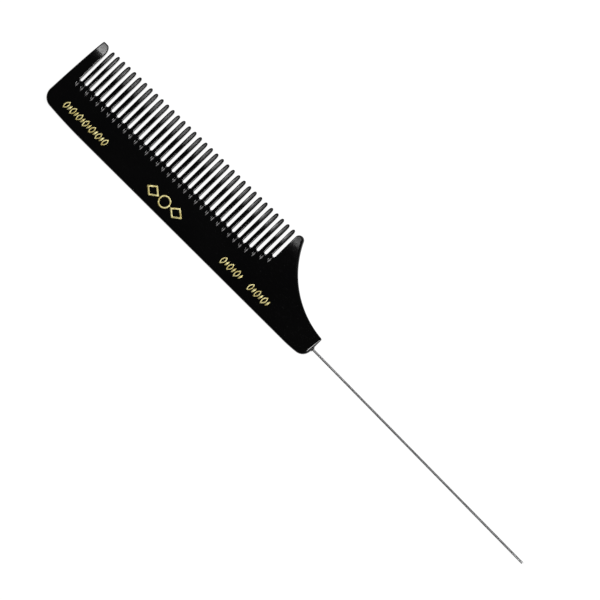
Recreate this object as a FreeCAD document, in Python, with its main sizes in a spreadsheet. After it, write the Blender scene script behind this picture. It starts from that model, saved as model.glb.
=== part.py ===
import FreeCAD
import Part
import Sketcher
import math
import os

# Rat tail comb, lying flat on its underside.
# Body frame: x runs along the spine from the blunt end to the pin tip, y from the
# spine to the tooth tips, z = 0 at mid thickness. One shared placement lifts every
# body so that the underside is at z = 0 and the origin is under the bounding box centre.

SIZES = {
    # overall
    "overall_length": 225.0,
    "overall_width": 29.36,
    "body_length": 124.05,
    "plate_thickness": 4.2,
    "tooth_tip_thickness": 1.5,
    # back of the plate
    "back_ease_run": 20.0,
    "back_corner_radius": 4.15,
    "back_corner_lift": 0.65,
    "front_ease_run": 9.05,
    "front_corner_radius": 3.68,
    "front_corner_lift": 0.32,
    "back_edge_radius": 0.8,
    "neck_edge_radius": 0.7,
    # blunt end and its guard tooth
    "blunt_end_lean": 1.62,
    "blunt_end_radius": 550.0,
    "left_guard_drop": 0.46,
    "left_guard_width": 5.06,
    "left_guard_corner": 0.48,
    "left_guard_flat_end": 4.1,
    "left_guard_soft_run": 3.25,
    # neck and its guard tooth
    "neck_radius": 32.92,
    "end_face_top": 9.5,
    "guard_setback": 28.9,
    "guard_radius": 1.7,
    # teeth
    "gap_count": 35.0,
    "gap_width": 1.083,
    "crowded_gap_width": 0.97,
    "crowded_gap_count": 4.0,
    "narrow_gap_count": 2.0,
    "gap_crowding": 0.75,
    "gap_root_height": 14.0,
    "rising_gap_count": 4.0,
    "root_rise": 3.62,
    "root_rise_power": 1.5,
    "tooth_lean": 0.73,
    "tooth_tip_drop": 0.3,
    "early_tooth_drop": 0.5,
    "early_tooth_run": 14.0,
    "first_tooth_drop": 0.74,
    "tooth_tip_radius": 2.2,
    "tooth_tip_flat": 0.4,
    "tooth_taper_length": 7.4,
    "saw_nick_length": 2.4,
    "saw_nick_lap": 0.3,
    "saw_nick_depth": 0.45,
    "saw_nick_width": 0.34,
    # tail pin and its seat
    "pin_diameter": 1.0,
    "pin_cant": 0.736,
    "pin_height": 4.87,
    "shank_length": 24.0,
    "shank_swell": 0.2,
    "shank_chamfer": 0.2,
    "shank_ring_count": 4.0,
    "shank_ring_start": 3.0,
    "shank_ring_spacing": 5.0,
    "shank_ring_width": 0.8,
    "shank_ring_depth": 0.12,
    "bore_clearance": 0.12,
    "bore_mouth_flare": 0.1,
    "bore_mouth_depth": 0.5,
    "cement_bead_length": 0.3,
    "cement_bead_start": 0.05,
    # foil
    "foil_recess": 0.1,
    "foil_thickness": 0.05,
    "foil_line": 0.6,
    "left_mark_start": 6.53,
    "left_mark_length": 20.55,
    "left_mark_low": 3.35,
    "left_mark_height": 3.22,
    "left_leaf_count": 13.0,
    "centre_mark_start": 45.78,
    "centre_mark_length": 16.49,
    "centre_mark_low": 2.65,
    "centre_mark_height": 4.62,
    "right_mark_start": 80.56,
    "right_mark_length": 23.31,
    "right_mark_low": 3.35,
    "right_mark_height": 3.35,
    "right_leaf_count": 6.0,
    "right_mark_break": 2.2,
    "leaf_slant": 0.9,
    "open_leaf_width": 1.7,
    "open_leaf_line": 0.45,
    "small_leaf_width": 0.8,
    "small_leaf_share": 0.7,
    "diamond_gap": 0.1,
    # how far cutting shapes stand clear of what they cut
    "cutter_margin": 1.0,
}

TINY = 1e-6
FULL_TURN = 360

doc = FreeCAD.newDocument("rat_tail_comb")
sizes = doc.addObject("Spreadsheet::Sheet", "sizes")
for row, (name, number) in enumerate(SIZES.items(), start=1):
    sizes.set(f"A{row}", name)
    sizes.set(f"B{row}", str(number))
    sizes.setAlias(f"B{row}", name)
doc.recompute()


def value(formula):
    """Number that a formula on the sheet's sizes gives now."""
    return float(sizes.evalExpression(formula))


GAPS = int(value("sizes.gap_count"))


# ---- formulas that tie the sizes together ---------------------------------------

LEAN = "tan(sizes.tooth_lean * 1 deg)"
TOP_FACE = "(sizes.plate_thickness / 2)"
TIP_LINE = "(sizes.overall_width - sizes.tooth_tip_drop)"
TOOTH_MIDDLE = f"(({TIP_LINE} + sizes.gap_root_height) / 2)"
GUARD_X = "(sizes.body_length - sizes.guard_setback)"
GUARD_Y = "(sizes.overall_width - sizes.guard_radius)"
LEFT_GUARD_TOP = "(sizes.overall_width - sizes.left_guard_drop)"
BACK_CORNER_TOP = "(sizes.back_corner_radius + sizes.back_corner_lift)"
FRONT_CORNER_TOP = "(sizes.front_corner_radius + sizes.front_corner_lift)"
FIRST_GAP = "(sizes.left_guard_width + sizes.crowded_gap_width / 2)"
LAST_GAP = (f"({GUARD_X} - sizes.guard_radius - sizes.gap_width / 2"
            f" - ({GUARD_Y} - {TOOTH_MIDDLE}) * {LEAN})")
PITCH = f"(({LAST_GAP} - {FIRST_GAP} + sizes.gap_crowding) / (sizes.gap_count - 1))"
PIN_RADIUS = "(sizes.pin_diameter / 2)"
SHANK_RADIUS = f"({PIN_RADIUS} + sizes.shank_swell)"
BORE_RADIUS = f"({SHANK_RADIUS} + sizes.bore_clearance)"
MOUTH_RADIUS = f"({BORE_RADIUS} + sizes.bore_mouth_flare)"
EXPOSED_PIN = "((sizes.overall_length - sizes.body_length) / cos(sizes.pin_cant * 1 deg))"


def gap_centre(index):
    """x of a gap's centre half way up the teeth; gap 0 is next to the blunt end."""
    even = f"({LAST_GAP} - {PITCH} * (sizes.gap_count - 1 - {index}))"
    if index >= int(value("sizes.crowded_gap_count")):
        return even
    share = f"((sizes.crowded_gap_count - {index}) / sizes.crowded_gap_count)"
    return f"({even} + sizes.gap_crowding * {share} ^ 2)"


def leaned(x, y):
    """x of a leaning line at height y, when it stands at x half way up the teeth."""
    return f"({x} + ({y} - {TOOTH_MIDDLE}) * {LEAN})"


def gap_root(index):
    """y of the bottom of a gap; the last ones rise towards the neck."""
    late = index - (GAPS - 1 - int(value("sizes.rising_gap_count")))
    if late <= 0:
        return "sizes.gap_root_height"
    share = f"({late} / sizes.rising_gap_count)"
    return f"(sizes.gap_root_height + sizes.root_rise * {share} ^ sizes.root_rise_power)"


def gap_breadth(index):
    """Width of a gap; the two beside the blunt end's guard are narrower."""
    if index < int(value("sizes.narrow_gap_count")):
        return "sizes.crowded_gap_width"
    return "sizes.gap_width"


def touching_radius(along, across):
    """Radius of an arc that starts along one line and ends this far along and across it."""
    return f"((({along}) ^ 2 + ({across}) ^ 2) / (2 * ({across})))"


def meeting(start, start_reach, end, end_reach):
    """Way from start to the point at these distances from start and end, right of the line to end."""
    across, up = f"({end[0]} - {start[0]})", f"({end[1]} - {start[1]})"
    apart = f"sqrt({across} ^ 2 + {up} ^ 2)"
    along = f"(({apart} ^ 2 + {start_reach} ^ 2 - {end_reach} ^ 2) / (2 * {apart}))"
    aside = f"sqrt({start_reach} ^ 2 - {along} ^ 2)"
    return (f"(({along} * {across} + {aside} * {up}) / {apart})",
            f"(({along} * {up} - {aside} * {across}) / {apart})")


def eased_corner(run, radius, lift):
    """Corner that eases off the spine along a long arc and turns up along a short one.

    Both arcs touch where they meet. Gives the long arc's radius, and how far the
    meeting point lies from the end face and from the spine.
    """
    top = f"({radius} + {lift})"
    long_radius = f"((({run} - {radius}) ^ 2 + {top} ^ 2 - {radius} ^ 2) / (2 * {lift}))"
    share = f"({long_radius} / ({long_radius} - {radius}))"
    return (long_radius, f"({run} - ({run} - {radius}) * {share})",
            f"({long_radius} - ({long_radius} - {top}) * {share})")


# ---- helpers --------------------------------------------------------------------


def new_body(name):
    """Body whose placement carries the comb frame to the shared frame."""
    body = doc.addObject("PartDesign::Body", name)
    body.Label = name
    body.setExpression("Placement.Base.x", "-sizes.overall_length / 2")
    body.setExpression("Placement.Base.y", "-sizes.overall_width / 2")
    body.setExpression("Placement.Base.z", TOP_FACE)
    return body


def new_sketch(body, name, role, offset=None):
    """Sketch on one of the body's origin planes; offset maps properties to formulas."""
    sketch = body.newObject("Sketcher::SketchObject", name)
    plane = [f for f in body.Origin.OriginFeatures if f.Role == role][0]
    sketch.AttachmentSupport = (plane, [""])
    sketch.MapMode = "FlatFace"
    for path, formula in (offset or {}).items():
        sketch.setExpression(f"AttachmentOffset.{path}", formula)
    return sketch


def hold_point(sketch, segment, end, point):
    """Holds a point of a sketch segment at a pair of formulas."""
    for kind, formula in zip(("DistanceX", "DistanceY"), point):
        held = sketch.addConstraint(Sketcher.Constraint(kind, segment, end, value(formula)))
        sketch.setExpression(f"Constraints[{held}]", formula)


def hold_radius(sketch, segment, formula):
    """Holds the radius of an arc or circle at a formula."""
    size = abs(value(formula))
    held = sketch.addConstraint(Sketcher.Constraint("Radius", segment, size))
    sketch.setExpression(f"Constraints[{held}]", f"abs({formula})")


def arc_between(start, end, radius):
    """Arc from start to end; a positive radius turns left, a negative one right."""
    chord = end - start
    left = FreeCAD.Vector(-chord.y, chord.x, 0).normalize() * math.copysign(1, radius)
    size = abs(radius)
    centre = (start + end) / 2 + left * math.sqrt(max(size ** 2 - chord.Length ** 2 / 4, 0))
    return Part.Arc(start, centre - left * size, end)


def draw_loop(sketch, corners):
    """Closed loop of lines and arcs.

    Each corner is (x formula, y formula, radius formula or None). The radius
    belongs to the arc that leaves the corner, and "-" before it turns it right.
    """
    base = sketch.GeometryCount
    points = [FreeCAD.Vector(value(x), value(y), 0) for x, y, _ in corners]
    ends = []
    for index, (_, _, radius) in enumerate(corners):
        start, end = points[index], points[(index + 1) % len(points)]
        if radius is None:
            sketch.addGeometry(Part.LineSegment(start, end))
        else:
            sketch.addGeometry(arc_between(start, end, value(radius)))
        forward = sketch.getPoint(base + index, 1).distanceToPoint(start) < TINY
        ends.append((1, 2) if forward else (2, 1))
    for index, (x, y, radius) in enumerate(corners):
        after = (index + 1) % len(corners)
        sketch.addConstraint(Sketcher.Constraint(
            "Coincident", base + index, ends[index][1], base + after, ends[after][0]))
        hold_point(sketch, base + index, ends[index][0], (x, y))
        if radius is None:
            continue
        span = points[index].distanceToPoint(points[after])
        if abs(span - 2 * abs(value(radius))) > TINY:
            hold_radius(sketch, base + index, radius)
        else:
            # a half circle on a level chord is held by the height of its centre
            held = sketch.addConstraint(
                Sketcher.Constraint("DistanceY", base + index, 3, value(y)))
            sketch.setExpression(f"Constraints[{held}]", y)


def draw_circle(sketch, x, y, radius):
    """Circle held by formulas."""
    centre = FreeCAD.Vector(value(x), value(y), 0)
    circle = sketch.addGeometry(Part.Circle(centre, FreeCAD.Vector(0, 0, 1), value(radius)))
    hold_point(sketch, circle, 3, (x, y))
    hold_radius(sketch, circle, radius)


def make(body, kind, name, profile, **settings):
    """PartDesign feature on a sketch; string settings with a dot are formulas."""
    feature = body.newObject(f"PartDesign::{kind}", name)
    feature.Profile = profile
    for key, setting in settings.items():
        if isinstance(setting, str) and "sizes." in setting:
            feature.setExpression(key, setting)
        else:
            setattr(feature, key, setting)
    profile.Visibility = False
    doc.recompute()
    return feature


def cut(body, kind, name, profile, **settings):
    """Pocket or groove that must take material away; turned round if it does not."""
    before = body.Tip.Shape.Volume
    feature = make(body, kind, name, profile, **settings)
    if feature.Shape.isNull() or before - feature.Shape.Volume < TINY:
        feature.Reversed = not feature.Reversed
        doc.recompute()
    assert before - feature.Shape.Volume > TINY, f"{name} removes nothing"
    return feature


def canted(item, slot):
    """Turns a placement onto the tail pin's axis, with its origin where the pin leaves."""
    turn = FreeCAD.Rotation(FreeCAD.Vector(0, 0, -1), value("sizes.pin_cant"))
    setattr(item, slot, FreeCAD.Placement(FreeCAD.Vector(), turn))
    item.setExpression(f"{slot}.Rotation.Angle", "sizes.pin_cant * 1 deg")


# ---- comb plate -----------------------------------------------------------------


def outline_corners():
    """Outline of the plate, round from the spine past the neck to the blunt end."""
    guard = (GUARD_X, GUARD_Y)
    end = ("sizes.body_length", "sizes.end_face_top")
    reach = "(sizes.neck_radius + sizes.guard_radius)"
    to_neck = meeting(end, "sizes.neck_radius", guard, reach)
    touch_x, touch_y = (
        f"({at} + ({corner} + {way} - {at}) * sizes.guard_radius / {reach})"
        for at, corner, way in zip(guard, end, to_neck))

    corner = "sizes.left_guard_corner"
    blunt_top = ("sizes.blunt_end_lean", f"({LEFT_GUARD_TOP} - {corner})")
    turn = ("sizes.back_corner_radius", BACK_CORNER_TOP)
    bow_reach = "(sizes.blunt_end_radius - sizes.back_corner_radius)"
    to_bow = meeting(turn, bow_reach, blunt_top, "sizes.blunt_end_radius")
    blunt_low = tuple(
        f"({at} - {way} * sizes.back_corner_radius / {bow_reach})" for at, way in zip(turn, to_bow))

    front_ease, front_x, front_y = eased_corner(
        "sizes.front_ease_run", "sizes.front_corner_radius", "sizes.front_corner_lift")
    back_ease, back_x, back_y = eased_corner(
        "sizes.back_ease_run", "sizes.back_corner_radius", "sizes.back_corner_lift")
    last_top = leaned(LAST_GAP, TIP_LINE)
    first_top = leaned(gap_centre(0), TIP_LINE)
    soft_y = f"({LEFT_GUARD_TOP} - sizes.left_guard_soft_run)"
    soft_x = leaned("sizes.left_guard_width", soft_y)
    soft = touching_radius("sizes.left_guard_soft_run", f"{soft_x} - sizes.left_guard_flat_end")
    return [
        ("sizes.back_ease_run", "0", None),
        ("sizes.body_length - sizes.front_ease_run", "0", front_ease),
        (f"sizes.body_length - {front_x}", front_y, "sizes.front_corner_radius"),
        ("sizes.body_length", FRONT_CORNER_TOP, None),
        (*end, "-sizes.neck_radius"),
        (touch_x, touch_y, "sizes.guard_radius"),
        (f"{GUARD_X} - sizes.guard_radius", GUARD_Y, None),
        (last_top, GUARD_Y, None),
        (last_top, TIP_LINE, None),
        ("sizes.early_tooth_run", "sizes.overall_width - sizes.early_tooth_drop", None),
        (first_top, "sizes.overall_width - sizes.first_tooth_drop", None),
        (first_top, soft_y, None),
        (soft_x, soft_y, soft),
        ("sizes.left_guard_flat_end", LEFT_GUARD_TOP, None),
        (f"sizes.blunt_end_lean + {corner}", LEFT_GUARD_TOP, corner),
        (*blunt_top, "sizes.blunt_end_radius"),
        (*blunt_low, "sizes.back_corner_radius"),
        (back_x, back_y, back_ease),
    ]


def gap_corners(index):
    """One gap between teeth: round root, straight flanks and a mouth that rounds the tips."""
    half = f"({gap_breadth(index)} / 2)"
    centre = gap_centre(index)
    low = f"({gap_root(index)} + {half})"
    flare = f"(({PITCH} - sizes.gap_width - sizes.tooth_tip_flat) / 2)"
    rise = f"sqrt(2 * sizes.tooth_tip_radius * {flare} - {flare} ^ 2)"
    mouth = f"({TIP_LINE} - {rise})"
    top = "(sizes.overall_width + sizes.cutter_margin)"
    wide = f"({half} + {flare})"
    low_x, mouth_x, tip_x = (leaned(centre, y) for y in (low, mouth, TIP_LINE))
    return [
        (f"{low_x} - {half}", low, half),
        (f"{low_x} + {half}", low, None),
        (f"{mouth_x} + {half}", mouth, "-sizes.tooth_tip_radius"),
        (f"{tip_x} + {wide}", TIP_LINE, None),
        (f"{tip_x} + {wide}", top, None),
        (f"{tip_x} - {wide}", top, None),
        (f"{tip_x} - {wide}", TIP_LINE, "-sizes.tooth_tip_radius"),
        (f"{mouth_x} - {half}", mouth, None),
    ]


def nick_corners(index, side):
    """Section of the shallow run-out that the saw leaves below a gap, on one face."""
    root = gap_root(index)
    inside = f"({root} + sizes.saw_nick_lap)"
    outside = f"({root} - sizes.saw_nick_length)"
    face = f"{side} * {TOP_FACE}"
    deep = f"{side} * ({TOP_FACE} - sizes.saw_nick_depth)"
    clear = f"{side} * ({TOP_FACE} + sizes.cutter_margin)"
    return [
        (outside, face, None),
        (inside, deep, None),
        (inside, clear, None),
        (outside, clear, None),
    ]


def cut_gap(index):
    """Gap pocket and the saw nicks below it."""
    sketch = new_sketch(plate, f"gap_outline_{index}", "XY_Plane")
    draw_loop(sketch, gap_corners(index))
    gap = cut(plate, "Pocket", f"gap_{index}", sketch,
              SideType="Symmetric", Length="sizes.plate_thickness * 2")
    root_x = leaned(gap_centre(index), gap_root(index))
    section = new_sketch(plate, f"nick_section_{index}", "YZ_Plane", {"Base.z": root_x})
    for side in (1, -1):
        draw_loop(section, nick_corners(index, side))
    nick = cut(plate, "Pocket", f"nick_{index}", section,
               SideType="Symmetric", Length="sizes.saw_nick_width")
    return [gap, nick]


def edges_on_faces(shape, wanted):
    """Names of the edges that lie in either flat face and whose middle is wanted."""
    names = []
    for number, edge in enumerate(shape.Edges, start=1):
        box = edge.BoundBox
        flat = box.ZLength < TINY and abs(abs(box.ZMax) - value(TOP_FACE)) < TINY
        middle = edge.valueAt((edge.FirstParameter + edge.LastParameter) / 2)
        if flat and wanted(middle):
            names.append(f"Edge{number}")
    return names


def round_edges(name, radius, wanted):
    """Fillet on chosen edges of both flat faces."""
    before = plate.Tip
    fillet = plate.newObject("PartDesign::Fillet", name)
    fillet.Base = (before, edges_on_faces(before.Shape, wanted))
    fillet.setExpression("Radius", radius)
    doc.recompute()
    return fillet


plate = new_body("comb_plate")
outline = new_sketch(plate, "plate_outline", "XY_Plane")
draw_loop(outline, outline_corners())
make(plate, "Pad", "plate_blank", outline, SideType="Symmetric", Length="sizes.plate_thickness")

corner_top = value(FRONT_CORNER_TOP)
blunt_reach = value("sizes.blunt_end_lean")
round_edges("rounded_back", "sizes.back_edge_radius",
            lambda p: p.y < corner_top or p.x < blunt_reach and p.y < value(TOOTH_MIDDLE))
round_edges("rounded_neck", "sizes.neck_edge_radius",
            lambda p: p.x > value(GUARD_X) + value("sizes.guard_radius") and p.y > corner_top)

taper = new_sketch(plate, "tooth_taper_section", "YZ_Plane")
for side in (1, -1):
    thin = f"{side} * sizes.tooth_tip_thickness / 2"
    taper_start = "(sizes.overall_width - sizes.tooth_taper_length)"
    drop = "((sizes.plate_thickness - sizes.tooth_tip_thickness) / 2)"
    bend = touching_radius("sizes.tooth_taper_length", drop)
    far = "sizes.overall_width + sizes.cutter_margin"
    clear = f"{side} * ({TOP_FACE} + sizes.cutter_margin)"
    draw_loop(taper, [
        (taper_start, f"{side} * {TOP_FACE}", f"{-side} * {bend}"),
        ("sizes.overall_width", thin, None),
        (far, thin, None),
        (far, clear, None),
        (taper_start, clear, None),
    ])
cut(plate, "Pocket", "tooth_taper", taper, SideType="Symmetric", Length="sizes.overall_length * 2")

first_even = int(value("sizes.crowded_gap_count"))
first_rising = GAPS - int(value("sizes.rising_gap_count"))
for index in range(first_even):
    cut_gap(index)
for index in range(first_rising, GAPS):
    cut_gap(index)
gap_and_nick = cut_gap(first_even)
even_gaps = plate.newObject("PartDesign::LinearPattern", "even_gaps")
even_gaps.Originals = gap_and_nick
even_gaps.Direction = (outline, ["H_Axis"])
even_gaps.Mode = "Spacing"
even_gaps.setExpression("Offset", PITCH)
even_gaps.Occurrences = first_rising - first_even
plate.Tip = even_gaps
doc.recompute()


# ---- tail pin, its bore and its cement ------------------------------------------


def shank_corners():
    """Upper outline of the ringed shank, from its buried end to where the cement ends."""
    points = [
        ("-sizes.shank_length", f"{SHANK_RADIUS} - sizes.shank_chamfer", None),
        ("-sizes.shank_length + 2 * sizes.shank_chamfer", SHANK_RADIUS, None),
    ]
    for ring in range(int(value("sizes.shank_ring_count"))):
        at = f"(-sizes.shank_length + sizes.shank_ring_start + {ring} * sizes.shank_ring_spacing)"
        deep = f"{SHANK_RADIUS} - sizes.shank_ring_depth"
        points += [
            (f"{at} - sizes.shank_ring_width / 2", SHANK_RADIUS, None),
            (f"{at} - sizes.shank_ring_width / 4", deep, None),
            (f"{at} + sizes.shank_ring_width / 4", deep, None),
            (f"{at} + sizes.shank_ring_width / 2", SHANK_RADIUS, None),
        ]
    return points + [("sizes.cement_bead_length", SHANK_RADIUS, None)]


BORE_END = "(-sizes.shank_length - sizes.bore_clearance)"
seat = [
    ("sizes.cement_bead_start", MOUTH_RADIUS, None),
    ("-sizes.bore_mouth_depth", BORE_RADIUS, None),
    (BORE_END, BORE_RADIUS, None),
]
bore = new_sketch(plate, "bore_profile", "XY_Plane")
canted(bore, "AttachmentOffset")
bore.setExpression("AttachmentOffset.Base.x", "sizes.body_length")
bore.setExpression("AttachmentOffset.Base.y", "sizes.pin_height")
draw_loop(bore, [
    (BORE_END, "0", None),
    ("sizes.cutter_margin", "0", None),
    ("sizes.cutter_margin", MOUTH_RADIUS, None),
] + seat)
cut(plate, "Groove", "pin_bore", bore, ReferenceAxis=(bore, ["H_Axis"]), Angle=FULL_TURN)


def new_turned_body(name, corners):
    """Body turned about the tail pin's axis from a closed half section."""
    body = new_body(name)
    canted(body, "Placement")
    body.setExpression("Placement.Base.x", "sizes.body_length - sizes.overall_length / 2")
    body.setExpression("Placement.Base.y", "sizes.pin_height - sizes.overall_width / 2")
    section = new_sketch(body, f"{name}_section", "XY_Plane")
    draw_loop(section, corners)
    make(body, "Revolution", f"{name}_turned", section,
         ReferenceAxis=(section, ["H_Axis"]), Angle=FULL_TURN)
    return body


shank = shank_corners()
tail_pin = new_turned_body("tail_pin", [
    ("-sizes.shank_length", "0", None),
    (EXPOSED_PIN, "0", PIN_RADIUS),
    (f"{EXPOSED_PIN} - {PIN_RADIUS}", PIN_RADIUS, None),
    ("sizes.cement_bead_length", PIN_RADIUS, None),
] + shank[::-1])
pin_cement = new_turned_body("pin_cement", [
    (BORE_END, "0", None),
    ("-sizes.shank_length", "0", None),
] + shank[:-1] + [
    ("sizes.cement_bead_length", SHANK_RADIUS, touching_radius(
        "sizes.cement_bead_length - sizes.cement_bead_start", f"{MOUTH_RADIUS} - {SHANK_RADIUS}")),
] + seat)


# ---- foil marks and the shallow beds they are pressed into ----------------------


def draw_leaf(sketch, x, y, lean, tall, width):
    """Leaf about its middle: two equal arcs between the ends of a slanted line."""
    half = f"({width} / 2)"
    chord = f"sqrt(({lean}) ^ 2 + ({tall}) ^ 2)"
    bend = f"(({chord} ^ 2 / 4 + {half} ^ 2) / (2 * {half}))"
    draw_loop(sketch, [
        (f"{x} - {lean} / 2", f"{y} - {tall} / 2", bend),
        (f"{x} + {lean} / 2", f"{y} + {tall} / 2", bend),
    ])


def leaf_row(sketch, start, length, low, height, count):
    """Row of slanted leaves: open ones, with a small solid one after each."""
    reach = "(sizes.leaf_slant + sizes.open_leaf_width)"
    step = f"(({length} - {reach}) / ({count} - 1))"
    y = f"({low} + {height} / 2)"
    tip = f"(sizes.open_leaf_line * sqrt(1 + ({height} / (2 * sizes.open_leaf_width)) ^ 2))"
    inner = f"(1 - 2 * {tip} / {height})"
    for leaf in range(int(value(count))):
        x = f"({start} + {reach} / 2 + {leaf} * {step})"
        if leaf % 2 == 1:
            draw_leaf(sketch, x, y, "(sizes.leaf_slant * sizes.small_leaf_share)",
                      f"({height} * sizes.small_leaf_share)", "sizes.small_leaf_width")
            continue
        draw_leaf(sketch, x, y, "sizes.leaf_slant", height, "sizes.open_leaf_width")
        draw_leaf(sketch, x, y, f"(sizes.leaf_slant * {inner})", f"({height} * {inner})",
                  "(sizes.open_leaf_width - 2 * sizes.open_leaf_line)")


def diamond(sketch, x, y, wide, tall):
    """Diamond about a centre."""
    draw_loop(sketch, [
        (x, f"{y} - {tall}", None),
        (f"{x} + {wide}", y, None),
        (x, f"{y} + {tall}", None),
        (f"{x} - {wide}", y, None),
    ])


def draw_left_mark(sketch):
    """One long row of leaves."""
    leaf_row(sketch, "sizes.left_mark_start", "sizes.left_mark_length",
             "sizes.left_mark_low", "sizes.left_mark_height", "sizes.left_leaf_count")


def draw_centre_mark(sketch):
    """Open ring between two open diamonds, all in one line width."""
    x = "(sizes.centre_mark_start + sizes.centre_mark_length / 2)"
    y = "(sizes.centre_mark_low + sizes.centre_mark_height / 2)"
    tall = "(sizes.centre_mark_height / 2)"
    wide = "((sizes.centre_mark_length - sizes.centre_mark_height) / 4 - sizes.diamond_gap)"
    draw_circle(sketch, x, y, tall)
    draw_circle(sketch, x, y, f"{tall} - sizes.foil_line")
    for side in (1, -1):
        middle = f"({x} + {side} * (sizes.centre_mark_length / 2 - {wide}))"
        inset = f"sizes.foil_line * sqrt({wide} ^ 2 + {tall} ^ 2)"
        diamond(sketch, middle, y, wide, tall)
        diamond(sketch, middle, y, f"({wide} - {inset} / {tall})", f"({tall} - {inset} / {wide})")


def draw_right_mark(sketch):
    """Two short rows of leaves with a break between them."""
    part = "((sizes.right_mark_length - sizes.right_mark_break) / 2)"
    for start in ("sizes.right_mark_start",
                  f"(sizes.right_mark_start + {part} + sizes.right_mark_break)"):
        leaf_row(sketch, start, part,
                 "sizes.right_mark_low", "sizes.right_mark_height", "sizes.right_leaf_count")


MARKS = {
    "foil_mark_left": draw_left_mark,
    "foil_mark_centre": draw_centre_mark,
    "foil_mark_right": draw_right_mark,
}
foils = []
for name, draw in MARKS.items():
    bed = new_sketch(plate, f"{name}_bed_outline", "XY_Plane", {"Base.z": TOP_FACE})
    draw(bed)
    cut(plate, "Pocket", f"{name}_bed", bed, Length="sizes.foil_recess")
    foil = new_body(name)
    foil.AllowCompound = True
    floor = {"Base.z": f"{TOP_FACE} - sizes.foil_recess"}
    shape = new_sketch(foil, f"{name}_outline", "XY_Plane", floor)
    draw(shape)
    make(foil, "Pad", f"{name}_leaf", shape, Length="sizes.foil_thickness")
    foils.append(foil)


# ---- check every object and write one file per piece ----------------------------

doc.recompute()
for item in doc.Objects:
    assert not {"Invalid", "Error"} & set(item.State), f"{item.Label}: {item.State}"

os.makedirs("parts", exist_ok=True)
for body in [plate, tail_pin, pin_cement] + foils:
    assert not body.Shape.isNull(), f"{body.Label} is empty"
    assert body.Shape.isValid(), f"{body.Label} is not valid"
    body.Shape.exportStep(f"parts/{body.Label}.step")
    print(body.Label, len(body.Shape.Solids), round(body.Shape.Volume, 3))
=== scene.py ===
import math

import bmesh
import bpy
import numpy as np
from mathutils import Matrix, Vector
from mathutils.geometry import delaunay_2d_cdt


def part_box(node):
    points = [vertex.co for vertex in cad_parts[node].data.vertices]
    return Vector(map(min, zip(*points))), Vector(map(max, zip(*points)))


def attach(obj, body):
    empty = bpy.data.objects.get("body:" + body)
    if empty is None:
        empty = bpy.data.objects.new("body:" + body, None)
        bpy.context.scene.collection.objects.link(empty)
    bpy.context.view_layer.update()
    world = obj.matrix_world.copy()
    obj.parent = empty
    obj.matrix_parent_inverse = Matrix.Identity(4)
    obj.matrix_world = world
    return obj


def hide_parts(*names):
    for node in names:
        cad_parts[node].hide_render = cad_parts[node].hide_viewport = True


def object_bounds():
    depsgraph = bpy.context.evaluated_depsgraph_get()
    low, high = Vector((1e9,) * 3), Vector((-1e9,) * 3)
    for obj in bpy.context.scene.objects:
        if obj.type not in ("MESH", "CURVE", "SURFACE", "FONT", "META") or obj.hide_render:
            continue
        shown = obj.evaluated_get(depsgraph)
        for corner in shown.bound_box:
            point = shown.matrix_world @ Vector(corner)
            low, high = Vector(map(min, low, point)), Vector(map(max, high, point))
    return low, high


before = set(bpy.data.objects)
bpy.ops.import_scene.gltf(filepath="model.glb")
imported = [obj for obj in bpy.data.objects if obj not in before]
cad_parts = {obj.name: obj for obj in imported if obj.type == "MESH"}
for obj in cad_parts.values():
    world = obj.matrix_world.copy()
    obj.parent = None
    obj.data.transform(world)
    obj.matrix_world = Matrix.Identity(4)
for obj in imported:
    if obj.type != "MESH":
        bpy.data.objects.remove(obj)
cad_low, cad_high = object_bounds()

# ---- sizes, in millimetres ------------------------------------------------------
# Plate coordinates: x from the blunt end, y from the spine, z from mid thickness.

MM = 0.001
plate_low, plate_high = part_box("comb_plate")
BODY_LENGTH, WIDTH, THICKNESS = ((plate_high - plate_low) / MM)[:]
OVERALL_LENGTH = (cad_high.x - cad_low.x) / MM
ORIGIN = np.array([plate_low.x, plate_low.y, (plate_low.z + plate_high.z) / 2])
# points closer than this are one point: millimetres in a face outline, metres in a mesh
SAME_POINT = 1e-7

# each corner of the back: where it leaves the spine, its radius, and how far it is lifted
BACK_CORNER = (20.0, 4.15, 0.65)
FRONT_CORNER = (9.05, 3.68, 0.32)
END_FACE_TOP = 9.5
END_CORNER_RADIUS = 0.5
# angle in radians by which the small corner stops short of the neck's arc
END_CORNER_CUT = 0.04
NECK_RADIUS = 32.92
GUARD_SETBACK = 28.9
GUARD_RADIUS = 1.7
BLUNT_LEAN = 1.62
BLUNT_RADIUS = 550.0
LEFT_GUARD_TOP = WIDTH - 0.46
LEFT_GUARD_WIDTH = 5.06
LEFT_GUARD_CORNER = 0.48
LEFT_GUARD_SOFT = (1.8, 3.25)

GAPS = 35
GAP_WIDTH = 1.083
NARROW_GAP_WIDTH = 0.97
NARROW_GAPS = 2
CROWDED_GAPS = 4
CROWDING = 0.75
ROOT_HEIGHT = 14.0
RISING_GAPS = 4
ROOT_RISE = 3.62
LEAN = math.tan(math.radians(0.73))
TIP_HEIGHT = WIDTH - 0.27
# how much shorter the first tooth is, and over how many teeth that dies away
SHORT_TOOTH = 0.44
SHORT_TEETH = 2.2
TOOTH_MIDDLE = (TIP_HEIGHT + ROOT_HEIGHT) / 2
TIP_THICKNESS = 1.5
TAPER_LENGTH = 7.4
TIP_SHARPNESS = 0.5
FLANK_POINTS = 22
ROOT_POINTS = 12

# width of the rounded edge in each place
BACK_EDGE = 0.8
ROOT_EDGE = 0.42
TIP_EDGE = 0.56
END_EDGE = 1.25
END_TOP_EDGE = 0.6
END_CORNER_EDGE = END_CORNER_RADIUS * 0.9
NECK_EDGE = 1.15
# an edge drops by its width, but by no more than this share of half the thickness
LARGEST_DROP = 0.85
EDGE_POINTS = 7

NICK_DEPTH = 0.06
NICK_POINTS = 7
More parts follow.
